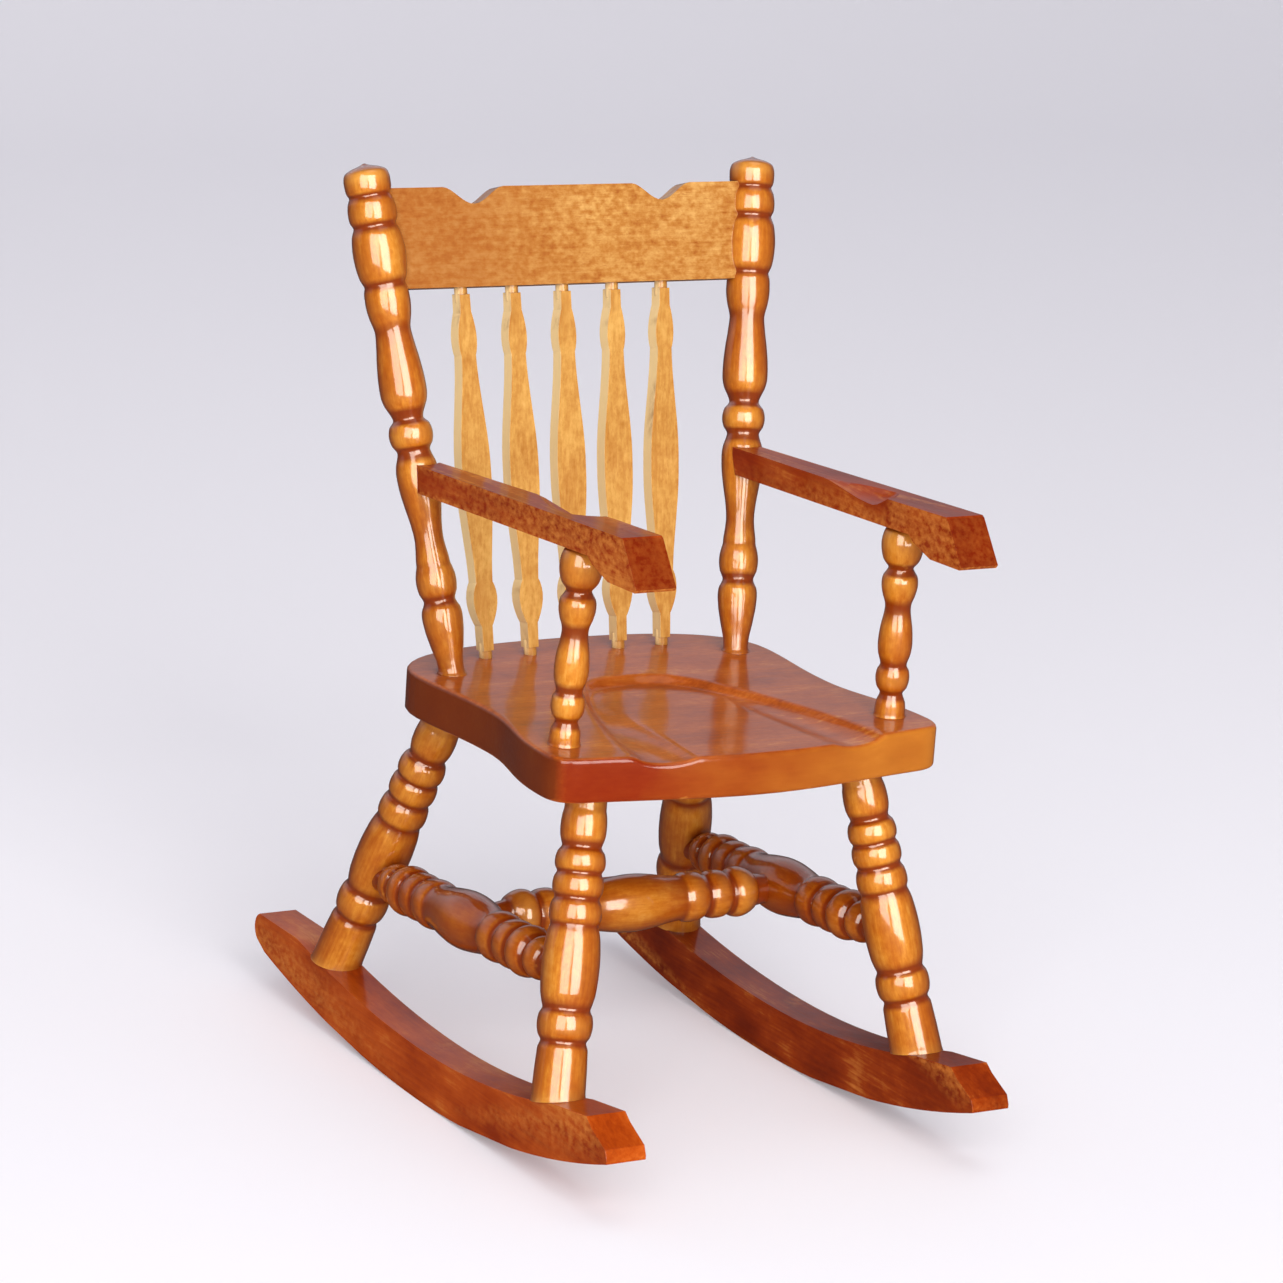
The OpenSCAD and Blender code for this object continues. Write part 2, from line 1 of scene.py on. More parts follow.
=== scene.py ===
"""Looks of the dolls house rocking chair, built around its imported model.

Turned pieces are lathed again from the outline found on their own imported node,
sawn pieces are softened copies of their nodes, and the seat is lofted from its
node's own outline and top. Lengths are millimetres, turned into metres by MM.
"""
import math

import bmesh
import bpy
import numpy as np
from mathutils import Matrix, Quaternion, Vector, noise
from mathutils.bvhtree import BVHTree


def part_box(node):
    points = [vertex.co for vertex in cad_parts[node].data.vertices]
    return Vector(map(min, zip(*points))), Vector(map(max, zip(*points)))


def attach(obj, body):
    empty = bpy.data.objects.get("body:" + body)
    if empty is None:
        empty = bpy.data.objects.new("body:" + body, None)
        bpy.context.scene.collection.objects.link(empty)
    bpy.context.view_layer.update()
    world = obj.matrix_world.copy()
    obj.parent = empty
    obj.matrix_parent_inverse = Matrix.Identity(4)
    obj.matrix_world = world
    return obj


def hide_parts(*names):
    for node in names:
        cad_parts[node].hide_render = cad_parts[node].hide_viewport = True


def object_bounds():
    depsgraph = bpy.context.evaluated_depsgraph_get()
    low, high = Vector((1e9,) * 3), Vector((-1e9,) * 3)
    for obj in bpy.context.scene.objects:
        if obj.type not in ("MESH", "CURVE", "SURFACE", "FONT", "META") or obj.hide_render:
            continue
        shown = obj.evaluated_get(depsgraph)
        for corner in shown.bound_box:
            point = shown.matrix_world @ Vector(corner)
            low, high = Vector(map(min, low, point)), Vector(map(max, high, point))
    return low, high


MM = 0.001
BODY = "root"

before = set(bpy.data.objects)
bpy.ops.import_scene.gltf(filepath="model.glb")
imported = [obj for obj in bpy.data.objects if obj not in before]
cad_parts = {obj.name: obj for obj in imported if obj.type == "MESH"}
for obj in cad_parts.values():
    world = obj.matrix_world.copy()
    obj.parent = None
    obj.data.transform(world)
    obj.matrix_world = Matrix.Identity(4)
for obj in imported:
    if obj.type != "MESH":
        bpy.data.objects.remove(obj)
cad_low, cad_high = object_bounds()
SEAT_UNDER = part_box("seat")[0].z / MM
SEAT_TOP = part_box("seat")[1].z / MM


# ------------------------------------------------------------------ reading nodes

def node_arrays(node):
    """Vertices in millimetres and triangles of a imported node."""
    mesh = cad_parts[node].data
    mesh.calc_loop_triangles()
    verts = np.array([v.co for v in mesh.vertices]).reshape(-1, 3) / MM
    tris = np.array([t.vertices for t in mesh.loop_triangles]).reshape(-1, 3)
    return verts, tris


def probe_of(verts, tris):
    """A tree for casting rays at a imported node, in millimetres."""
    return BVHTree.FromPolygons([Vector(v) for v in verts], [tuple(t) for t in tris])


def face_data(verts, tris):
    """Centre, unit normal and area of each triangle."""
    a, b, c = verts[tris[:, 0]], verts[tris[:, 1]], verts[tris[:, 2]]
    cross = np.cross(b - a, c - a)
    length = np.linalg.norm(cross, axis=1)
    keep = length > 1e-9
    normal = np.zeros_like(cross)
    normal[keep] = cross[keep] / length[keep, None]
    return (a + b + c) / 3, normal, length / 2


# Points of one turned ring agree to RING_STEP, and at least RING_POINTS share it.
RING_STEP = 0.01
RING_POINTS = 8
FIT_ROUNDS = 12
FIT_SOFTNESS = 0.02
ON_AXIS = 0.03


def turning_axis(verts, tris):
    """The line that a turned piece's surface normals all cross.

    Each normal line and the axis are Pluecker lines, so the axis is the
    smallest singular vector; faces of sockets and cuts are weighted out.
    """
    centre, normal, area = face_data(verts, tris)
    origin = verts.mean(0)
    moment = np.cross(centre - origin, normal)
    scale = np.abs(verts - origin).max()
    rows = np.hstack([moment / scale, normal])
    weight = area.copy()
    for _ in range(FIT_ROUNDS):
        _, _, vt = np.linalg.svd(rows * np.sqrt(weight)[:, None], full_matrices=False)
        line = vt[-1]
        way = line[:3] / scale
        size = np.linalg.norm(way)
        way, shift = way / size, line[3:] / size
        miss = np.abs(normal @ shift + moment @ way)
        weight = area / (1 + (miss / FIT_SOFTNESS) ** 2)
    return origin + np.cross(way, shift), way, miss < ON_AXIS


def turned_outline(verts, tris, up):
    """Start point, direction and (position, radius) outline of a turned node.

    Only positions where many points share one radius are rings of the turning;
    the rest are the edges of sockets and cuts.
    """
    point, way, good = turning_axis(verts, tris)
    if way @ np.array(up) < 0:
        way = -way
    used = np.unique(tris[good])
    rel = verts[used] - point
    s = rel @ way
    r = np.linalg.norm(rel - np.outer(s, way), axis=1)
    start = s.min()
    spots = np.round(np.stack([s - start, r], axis=1) / RING_STEP)
    rings, counts = np.unique(spots, axis=0, return_counts=True)
    rings = rings[(counts >= RING_POINTS) & (rings[:, 1] > 0)] * RING_STEP
    rows = [[0.0, rings[0, 1]]]
    for pos, rad in rings:
        if pos - rows[-1][0] < 2 * RING_STEP:
            rows[-1][1] = max(rows[-1][1], rad)
        else:
            rows.append([pos, rad])
    return point + way * start, way, np.array(rows)


# ------------------------------------------------------------------ turned pieces

# Points round a turning, and the spacing at which its outline is held.
AROUND = 64
SAMPLE = 0.05
# Reach of the easing, of the plain form without its beads, and the share of
# the difference by which grooves are deepened.
SOFT_EDGE = 0.2
FORM = 1.8
DEEPEN = 0.7
# Stain fills grooves up to POOL_DEPTH deep, judged over POOL_REACH.
POOL_REACH = 1.1
POOL_DEPTH = 0.42
# Rings stay within OUTLINE_ERROR of the outline and at most RING_GAP apart.
OUTLINE_ERROR = 0.0035
RING_GAP = 1.2
NEAREST_RINGS = 0.02
# Hand-held lathe work: depth of the wobble and its scale round and along.
WOBBLE = 0.018
WOBBLE_ROUND = 0.9
WOBBLE_ALONG = 0.16
CREASE = 38


def smooth_line(values, sigma, step):
    """Gaussian average of evenly spaced values, with the ends held."""
    reach = max(1, int(3 * sigma / step))
    k = np.exp(-0.5 * (np.arange(-reach, reach + 1) * step / sigma) ** 2)
    padded = np.concatenate([np.full(reach, values[0]), values, np.full(reach, values[-1])])
    return np.convolve(padded, k / k.sum(), mode="valid")


def thin_out(s, r):
    """Douglas-Peucker: indices of the outline points that are worth a ring."""
    keep = {0, len(s) - 1}
    spans = [(0, len(s) - 1)]
    while spans:
        a, b = spans.pop()
        if b <= a + 1:
            continue
        t = (s[a:b + 1] - s[a]) / (s[b] - s[a])
        gap = np.abs(r[a:b + 1] - (r[a] + (r[b] - r[a]) * t))
        k = int(gap.argmax())
        if gap[k] > OUTLINE_ERROR or s[b] - s[a] > RING_GAP:
            k = k if 0 < k < b - a and gap[k] > OUTLINE_ERROR else (b - a) // 2
            keep.add(a + k)
            spans += [(a, a + k), (a + k, b)]
    return np.array(sorted(keep))


def side_axes(way):
    """Two unit vectors square to a direction."""
    ref = np.array([0.0, 0.0, 1.0]) if abs(way[2]) < 0.9 else np.array([1.0, 0.0, 0.0])
    u = np.cross(ref, way)
    u /= np.linalg.norm(u)
    return u, np.cross(way, u)


class Turned:
    """What is needed to lathe a turned node again.

    Its outline is eased, so that grooves are round, then deepened by as much.
    """

    def __init__(self, node, up, seed):
        self.node, self.seed = node, seed
        self.mesh = node_arrays(node)
        self.start, self.way, rows = turned_outline(*self.mesh, up)
        self.length = rows[-1, 0]
        self.fine = np.arange(0, self.length + SAMPLE / 2, SAMPLE)
        raw = np.interp(self.fine, rows[:, 0], rows[:, 1])
        eased = smooth_line(raw, SOFT_EDGE, SAMPLE)
        self.radius = eased + DEEPEN * np.minimum(eased - smooth_line(raw, FORM, SAMPLE), 0)
        hollow = smooth_line(raw, POOL_REACH, SAMPLE) - self.radius
        self.pool = np.clip(hollow / POOL_DEPTH, -1, 1)
        self.u, self.v = side_axes(self.way)

    def point(self, s, r, angle):
        side = self.u * math.cos(angle) + self.v * math.sin(angle)
        return self.start + self.way * s + side * r


def lathe(piece, low, high, extra, warp):
    """Mesh of a turned piece between positions low and high.

    extra lists further ring positions; warp(s, r, angle) returns the moved
    (s, r) of a point, for ends that follow a neighbour's surface.
    """
    inside = (piece.fine >= low) & (piece.fine <= high)
    fine, radius = piece.fine[inside], piece.radius[inside]
    ring_s = np.concatenate([fine[thin_out(fine, radius)], np.array(extra, float)])
    ring_s = np.unique(np.round(np.clip(ring_s, low, high), 3))
    ring_s = ring_s[np.concatenate([[True], np.diff(ring_s) > NEAREST_RINGS])]
    ring_r = np.interp(ring_s, piece.fine, piece.radius)
    pool = np.interp(ring_s, piece.fine, piece.pool)
    verts, tone, along = [], [], []
    for s, r, p in zip(ring_s, ring_r, pool):
        for k in range(AROUND):
            angle = 2 * math.pi * k / AROUND
            spot = Vector((math.cos(angle) * WOBBLE_ROUND, math.sin(angle) * WOBBLE_ROUND,
                           s * WOBBLE_ALONG + piece.seed * 7.3))
            ws, wr = warp(s, r + WOBBLE * noise.noise(spot), angle)
            verts.append(piece.point(ws, wr, angle) * MM)
            tone.append(p)
            along.append(s / piece.length)
    first, last = len(verts), len(verts) + 1
    ends = verts[:AROUND], verts[-AROUND:]
    verts += [sum(ring) / AROUND for ring in ends]
    tone += [0, 0]
    along += [low / piece.length, high / piece.length]
    faces = []
    for i in range(len(ring_s) - 1):
        for k in range(AROUND):
            a, b = i * AROUND + k, i * AROUND + (k + 1) % AROUND
            faces.append((a, b, b + AROUND, a + AROUND))
    for k in range(AROUND):
        n = (k + 1) % AROUND
        faces.append((n, k, first))
        faces.append((first - AROUND + k, first - AROUND + n, last))
    return new_piece(piece.node, verts, faces, {"tone": tone, "along": along})


def new_piece(node, verts, faces, values=None):
    """A visible mesh that stands for a node, with optional per-point values."""
    mesh = bpy.data.meshes.new("look_" + node)
    mesh.from_pydata([tuple(v) for v in verts], [], faces)
    for name, data in (values or {}).items():
        mesh.attributes.new(name, "FLOAT", "POINT").data.foreach_set("value", data)
    mesh.validate()
    obj = bpy.data.objects.new("look_" + node, mesh)
    bpy.context.scene.collection.objects.link(obj)
    finish_piece(obj, node)
    return obj


def finish_piece(obj, node):
    """Shades a piece smooth up to its creases and ties it to the frame."""
    obj.data.shade_smooth()
    obj.data.set_sharp_from_angle(angle=math.radians(CREASE))
    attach(obj, BODY)
    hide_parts(node)


# ------------------------------------------------------------------ joints

# How far a piece runs on into its neighbour, and the glue fillet round it.
SUNK = 0.9
GLUE_SPREAD = 0.26
GLUE_REACH = 0.24
# Hidden lengths at the ends of the turned nodes.
FOOT_PIN = 3.0
POST_TENON = 3.6
SUPPORT_TENON = 2.2
SUPPORT_PIN = 1.0
LEG_TENON = 3.2
# The stretch of a leg that is fitted to its rocker, and where rays run down it.
FOOT_REACH = 4.0
FOOT_INSIDE = 0.96
FOOT_GLUE = 0.5


def glue(gap):
    """Extra radius of the glue fillet at a distance from the joined surface."""
    return GLUE_SPREAD * math.exp(-max(gap, 0.0) / GLUE_REACH)


def joint_rings(s):
    """Close ring positions for a fillet about position s."""
    return np.arange(s - 1.0, s + 1.5, 0.11)


def into_plane(piece, height, way_out):
    """A warp that spreads a piece where it enters the level plane at height."""
    def warp(s, r, angle):
        gap = (piece.point(s, r, angle)[2] - height) * way_out
        return s, r + glue(gap)
    return warp


def on_rocker(piece):
    """A warp that seats a leg's foot on its rocker and spreads it a little.

    Rays down the inside of the leg's node find the curved cut of the foot.
    The top of the leg spreads where it enters the underside of the seat.
    """
    probe = probe_of(*piece.mesh)
    top = into_plane(piece, SEAT_UNDER, -1)
    eye_s = FOOT_PIN + FOOT_REACH / 2
    inside_r = FOOT_INSIDE * np.interp(eye_s, piece.fine, piece.radius)
    cuts = {}

    def cut(angle):
        if angle not in cuts:
            eye = Vector(piece.point(eye_s, inside_r, angle))
            cuts[angle] = eye_s - probe.ray_cast(eye, -Vector(piece.way))[3]
        return cuts[angle]

    def warp(s, r, angle):
        s, r = top(s, r, angle)
        reach = FOOT_PIN + FOOT_REACH - s
        if reach > 0:
            low = cut(angle)
            s = low + (s - FOOT_PIN) * (FOOT_PIN + FOOT_REACH - low) / FOOT_REACH
            r += FOOT_GLUE * glue(s - low)
        return s, r
    return warp


def still(s, r, _angle):
    """The warp of a piece that needs none."""
    return s, r


# ------------------------------------------------------------------ sawn pieces

# Smallest gap between points, largest bend that counts as flat, smallest bend
# that counts as an edge, and facets across an eased edge.
WELD = 0.002
FLAT_ANGLE = 0.6
EDGE_ANGLE = 28
EDGE_STEPS = 3


def softened(node, edge_mm):
    """A copy of a sawn node with its triangles merged and its edges eased."""
    bm = bmesh.new()
    bm.from_mesh(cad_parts[node].data)
    bmesh.ops.remove_doubles(bm, verts=bm.verts, dist=WELD * MM)
    bmesh.ops.dissolve_limit(bm, angle_limit=math.radians(FLAT_ANGLE), verts=bm.verts,
                             edges=bm.edges, use_dissolve_boundaries=False)
    sharp = [e for e in bm.edges if len(e.link_faces) == 2
             and e.calc_face_angle(0) > math.radians(EDGE_ANGLE)]
    bmesh.ops.bevel(bm, geom=sharp, offset=edge_mm * MM, segments=EDGE_STEPS, profile=0.5,
                    affect="EDGES", clamp_overlap=True)
    mesh = bpy.data.meshes.new("look_" + node)
    bm.to_mesh(mesh)
    bm.free()
    obj = bpy.data.objects.new("look_" + node, mesh)
    bpy.context.scene.collection.objects.link(obj)
    finish_piece(obj, node)
    even = obj.modifiers.new("even_normals", "WEIGHTED_NORMAL")
    even.keep_sharp = True
    return obj


# ------------------------------------------------------------------ seat

# Points round the seat, rings over its top and its underside, and facets
# across its rolled edge, whose radius is SEAT_EDGE.
SEAT_AROUND = 420
SEAT_RINGS = 110
UNDER_RINGS = 12
EDGE_RINGS = 7
SEAT_EDGE = 0.6
SEAT_MIDDLE = np.array([0.0, -4.0])
# Grid for reading the scoop, how far its edges are rubbed, the depth from
# which a hole is a socket, and the height and distance that rays start from.
SCOOP_CELL = 0.25
SCOOP_RUB = 0.38
SOCKET_DEPTH = 1.3
EYE_ABOVE = 5
EYE_AWAY = 80


def seat_reach(probe):
    """Distance from the seat's middle to its edge, all the way round."""
    reach = []
    for k in range(SEAT_AROUND):
        angle = 2 * math.pi * k / SEAT_AROUND
        way = Vector((math.cos(angle), math.sin(angle), 0))
        eye = Vector((*SEAT_MIDDLE, SEAT_UNDER + 0.5)) + way * EYE_AWAY
        reach.append(EYE_AWAY - probe.ray_cast(eye, -way)[3])
    return np.array(reach)


class RubbedTop:
    """Depth of the scoop below the seat's top, with its edges rubbed round."""

    def __init__(self, probe, low, high):
        self.low = low[:2] - 1
        xs = np.arange(self.low[0], high[0] + 1, SCOOP_CELL)
        ys = np.arange(self.low[1], high[1] + 1, SCOOP_CELL)
        depth = np.zeros((len(xs), len(ys)))
        down = Vector((0, 0, -1))
        for i, x in enumerate(xs):
            hits = [probe.ray_cast(Vector((x, y, SEAT_TOP + EYE_ABOVE)), down)[3] for y in ys]
            seen = [j for j, hit in enumerate(hits) if hit is not None]
            if seen:
                row = [hits[j] - EYE_ABOVE for j in seen]
                row = [0 if d > SOCKET_DEPTH else d for d in row]
                depth[i] = np.interp(np.arange(len(ys)), seen, row)
        for axis in (0, 1):
            depth = np.apply_along_axis(smooth_line, axis, depth, SCOOP_RUB, SCOOP_CELL)
        self.depth = depth

    def at(self, x, y):
        """Depth at arrays of places, read between the grid points."""
        i = np.clip((x - self.low[0]) / SCOOP_CELL, 0, self.depth.shape[0] - 1.001)
        j = np.clip((y - self.low[1]) / SCOOP_CELL, 0, self.depth.shape[1] - 1.001)
        a, b = i.astype(int), j.astype(int)
        u, v = i - a, j - b
        d = self.depth
        return ((d[a, b] * (1 - u) + d[a + 1, b] * u) * (1 - v)
                + (d[a, b + 1] * (1 - u) + d[a + 1, b + 1] * u) * v)


def seat_board():
    """The seat: rings out over the underside, up the edge and in over the top."""
    verts, tris = node_arrays("seat")
    probe = probe_of(verts, tris)
    reach = seat_reach(probe)
    top = RubbedTop(probe, verts.min(0), verts.max(0))
    angles = 2 * math.pi * np.arange(SEAT_AROUND) / SEAT_AROUND
    cos, sin = np.cos(angles), np.sin(angles)
    quarter = np.linspace(0, math.pi / 2, EDGE_RINGS)
    inner = reach - SEAT_EDGE
    # Each ring: radius, drop below the top or None, level or None.
    rings = [(inner * share, None, SEAT_UNDER) for share in np.linspace(0.06, 0.94, UNDER_RINGS)]
    rings += [(inner + SEAT_EDGE * math.sin(a), None, SEAT_UNDER + SEAT_EDGE * (1 - math.cos(a)))
              for a in quarter]
    rings += [(inner + SEAT_EDGE * math.cos(a), SEAT_EDGE * (1 - math.sin(a)), None)
              for a in quarter]
    rings += [(inner * share, 0.0, None) for share in np.linspace(1, 0.01, SEAT_RINGS)[1:]]
    points = []
    for radius, drop, level in rings:
        x, y = SEAT_MIDDLE[0] + radius * cos, SEAT_MIDDLE[1] + radius * sin
        if drop is None:
            z = np.full(SEAT_AROUND, level)
        else:
            z = SEAT_TOP - top.at(x, y) - drop
        points.append(np.stack([x, y, z], axis=1))
    points += [points[0].mean(0, keepdims=True), points[-1].mean(0, keepdims=True)]
    faces = []
    n = SEAT_AROUND
    for i in range(len(rings) - 1):
        for k in range(n):
            a, b = i * n + k, i * n + (k + 1) % n
            faces.append((a, b, b + n, a + n))
    under, crown = len(rings) * n, len(rings) * n + 1
    for k in range(n):
        faces.append(((k + 1) % n, k, under))
        faces.append((under - n + k, under - n + (k + 1) % n, crown))
    return new_piece("seat", np.concatenate(points) * MM, faces)


# ------------------------------------------------------------------ materials

class Graph:
    """Short names for building a node tree."""

    def __init__(self, material):
        material.use_nodes = True
        self.tree = material.node_tree
        self.tree.nodes.clear()

    def add(self, kind, **values):
        made = self.tree.nodes.new(kind)
        for key, value in values.items():
            setattr(made, key, value)
        return made

    def link(self, a, b):
        self.tree.links.new(a, b)

    def math(self, kind, a, b=0.0, clamp=False):
        made = self.add("ShaderNodeMath", operation=kind, use_clamp=clamp)
        for slot, value in ((0, a), (1, b)):
            if isinstance(value, (int, float)):
                made.inputs[slot].default_value = value
            else:
                self.link(value, made.inputs[slot])
        return made.outputs[0]

    def above(self, value, floor, gain):
        """0 up to a floor, then rising by gain to 1."""
        return self.math("MULTIPLY", self.math("SUBTRACT", value, floor), gain, clamp=True)

    def ramp(self, value, stops):
        made = self.add("ShaderNodeValToRGB")
        ramp = made.color_ramp
        while len(ramp.elements) < len(stops):
            ramp.elements.new(0.5)
        for element, (place, colour) in zip(ramp.elements, stops):
            element.position = place
            element.color = (*colour, 1)
        self.link(value, made.inputs[0])
        return made.outputs[0]

    def mix(self, share, a, b):
        made = self.add("ShaderNodeMix", data_type="RGBA")
        for slot, value in ((0, share), (6, a), (7, b)):
            if isinstance(value, (int, float)):
                made.inputs[slot].default_value = value
            elif isinstance(value, tuple):
                made.inputs[slot].default_value = (*value, 1)
            else:
                self.link(value, made.inputs[slot])
        return made.outputs[2]

    def noise(self, coords, detail, rough):
        made = self.add("ShaderNodeTexNoise")
        made.inputs["Scale"].default_value = 1.0
        made.inputs["Detail"].default_value = detail
        made.inputs["Roughness"].default_value = rough
        self.link(coords, made.inputs["Vector"])
        return made.outputs["Fac"]

    def grain(self, space, across, along, detail=2.0, rough=0.5):
        """Noise whose cells measure across and along the grain, in millimetres."""
        made = self.add("ShaderNodeMapping")
        scale = 1 / (across * MM), 1 / (across * MM), 1 / (along * MM)
        made.inputs["Scale"].default_value = scale
        self.link(space, made.inputs["Vector"])
        return self.noise(made.outputs[0], detail, rough)

    def facing(self, way):
        """How squarely the surface faces a direction."""
        normal = self.add("ShaderNodeNewGeometry").outputs["Normal"]
        made = self.add("ShaderNodeVectorMath", operation="DOT_PRODUCT")
        self.link(normal, made.inputs[0])
        made.inputs[1].default_value = way
        return made.outputs["Value"]

    def bump(self, height, strength, distance):
        made = self.add("ShaderNodeBump")
        made.inputs["Strength"].default_value = strength
        made.inputs["Distance"].default_value = distance * MM
        self.link(height, made.inputs["Height"])
        return made.outputs[0]


def grain_space(g, way, seed):
    """Object coordinates turned so that the grain runs along local Z."""
    coords = g.add("ShaderNodeTexCoord")
    turn = g.add("ShaderNodeMapping")
    upright_turn = Vector(way).rotation_difference(Vector((0, 0, 1)))
    turn.inputs["Rotation"].default_value = upright_turn.to_euler()
    turn.inputs["Location"].default_value = (seed * 0.113, seed * 0.071, seed * 0.057)
    g.link(coords.outputs["Object"], turn.inputs["Vector"])
    return turn.outputs[0]


# Layers of the grain: cell across and along it in millimetres, detail, roughness.
PATCH = (5.0, 11.0, 3.0, 0.5)
STREAK = (0.42, 7.5, 4.0, 0.62)
FLECK = (0.16, 1.3, 2.0, 0.6)
MOTTLE = (0.8, 1.1, 3.0, 0.6)
PEEL = (1.3, 1.9, 2.0, 0.45)
# Where the four colours of a wood sit on its tone.
TONES = ((0.34, "deep"), (0.47, "mid"), (0.57, "pale"), (0.72, "gold"))
PORE_FLOOR = 0.66
WARM = (1.0, 0.74, 0.34, 1)


def wood(name, way, seed, look):
    """Varnished wood: stain patches, grain streaks, pores, corners darkened by stain and painted shade,
    painted light and shade on faces that point given ways, rubbed edges.
    """
    material = bpy.data.materials.new(name)
    g = Graph(material)
    space = grain_space(g, way, seed)
    patch, streak, fleck, mottle = (g.grain(space, *layer) for layer in (PATCH, STREAK, FLECK, MOTTLE))
    parts = ((patch, look["patchy"]), (streak, look["streaky"]), (mottle, look["mottled"]))
    tone = 0.0
    for value, share in parts:
        tone = g.math("ADD", g.math("MULTIPLY", value, share), tone)
    tone = g.math("DIVIDE", tone, sum(share for _, share in parts))
    base = g.ramp(tone, [(place, look[colour]) for place, colour in TONES])
    pore = g.math("GREATER_THAN", fleck, PORE_FLOOR)
    base = g.mix(g.math("MULTIPLY", pore, look["pores"]), base, look["deep"])
    if look.get("turned"):
        base = pooled(g, base, patch, look)
    # Faces that point a given way get a set colour: painted light and shade, and on the seat's sides also
    # end-grain stain.
    for facing, colour, share in look.get("facing_light_and_stain", ()):
        turned_to = g.above(g.facing(facing), 0.55, 3.0)
        base = g.mix(g.math("MULTIPLY", turned_to, share), base, colour)
    if look.get("left_brown"):
        base = left_deepening(g, base, look)
    if look.get("front"):
        base = front_ramp(g, base, patch, look["front"])
    base = corner_stain_and_shade(g, base, look)
    pointiness = g.add("ShaderNodeNewGeometry").outputs["Pointiness"]
    rub = g.math("MULTIPLY", g.above(pointiness, 0.53, 9.0), g.above(mottle, 0.35, 3.0))
    worn = look.get("rubbed_to", look["gold"])
    base = g.mix(g.math("MULTIPLY", rub, look["rubbed"]), base, worn)
    surface = g.add("ShaderNodeBsdfPrincipled")
    g.link(base, surface.inputs["Base Color"])
    rough = g.math("ADD", g.math("MULTIPLY", g.math("SUBTRACT", streak, 0.5), 0.25), look["rough"])
    g.link(rough, surface.inputs["Roughness"])
    surface.inputs["Specular IOR Level"].default_value = look["sheen"]
    surface.inputs["Specular Tint"].default_value = WARM
    surface.inputs["Coat Weight"].default_value = look["coat"]
    surface.inputs["Coat Roughness"].default_value = look["coat_rough"]
    grit = g.math("ADD", g.math("MULTIPLY", streak, 0.5), g.math("MULTIPLY", fleck, 0.25))
    g.link(g.bump(grit, look["bump"], 0.05), surface.inputs["Normal"])
    peel = g.math("ADD", g.grain(space, *PEEL), g.math("MULTIPLY", streak, 0.18))
    g.link(g.bump(peel, look["peel"], 0.06), surface.inputs["Coat Normal"])
    out = g.add("ShaderNodeOutputMaterial")
    g.link(surface.outputs[0], out.inputs["Surface"])
    return material


def pooled(g, base, patch, look):
    """Stain that pools in the grooves of a turning and thins out on its swells.

    Tinted varnish looks deeper where it is seen at a slant; this darkening of the turning's edges is
    partly painted shade.
    """
    shade = g.add("ShaderNodeAttribute", attribute_name="tone").outputs["Fac"]
    pool = g.math("ADD", shade, g.math("MULTIPLY", g.math("SUBTRACT", patch, 0.5), 0.5))
    dark = g.above(pool, 0.06, 2.3)
    base = g.mix(g.math("MULTIPLY", dark, look["pooling"]), base, look["groove"])
    light = g.above(g.math("MULTIPLY", pool, -1.0), 0.10, 1.6)
    base = g.mix(g.math("MULTIPLY", light, 0.45), base, look["gold"])
    place = g.add("ShaderNodeAttribute", attribute_name="along").outputs["Fac"]
    for share, colour, floor, gain in look.get("ends", ()):
        reach = g.above(place, floor, gain)
        base = g.mix(g.math("MULTIPLY", reach, share), base, colour)
    # Darker where seen at a slant: deeper varnish and painted edge shade.
    slant = g.add("ShaderNodeLayerWeight").outputs["Facing"]
    return g.mix(g.math("MULTIPLY", g.above(slant, 0.12, 1.7), 0.75), base, look["slanting"])


def left_deepening(g, base, look):
    """Deeper brown towards the left end of a board."""
    place = g.add("ShaderNodeSeparateXYZ")
    g.link(g.add("ShaderNodeTexCoord").outputs["Object"], place.inputs[0])
    left = g.above(g.math("MULTIPLY", place.outputs["X"], -1 / MM), -4.0, 0.055)
    return g.mix(g.math("MULTIPLY", left, look["left_brown"]), base, look["deep"])


def front_ramp(g, base, patch, colours):
    """Front faces coloured from one colour at the left end to another at the right."""
    place = g.add("ShaderNodeSeparateXYZ")
    g.link(g.add("ShaderNodeTexCoord").outputs["Object"], place.inputs[0])
    across = g.math("MULTIPLY", place.outputs["X"], 0.022 / MM)
    across = g.math("ADD", across, g.math("MULTIPLY", patch, 0.9))
    end = g.mix(g.above(across, 0.05, 1.1), *colours)
    front = g.above(g.facing((0, -1, 0)), 0.45, 2.5)
    return g.mix(g.math("MULTIPLY", front, 0.85), base, end)


def corner_stain_and_shade(g, base, look):
    """Darkens corners and places close to other parts: partly stain and glue that collect there, partly
    painted shade.
    """
    near = g.add("ShaderNodeAmbientOcclusion", samples=6)
    near.inputs["Distance"].default_value = 1.6 * MM
    shut = g.above(g.math("SUBTRACT", 1.0, near.outputs["AO"]), 0.18, 1.9)
    return g.mix(g.math("MULTIPLY", shut, look["stain_and_shade"]), base, look["groove"])


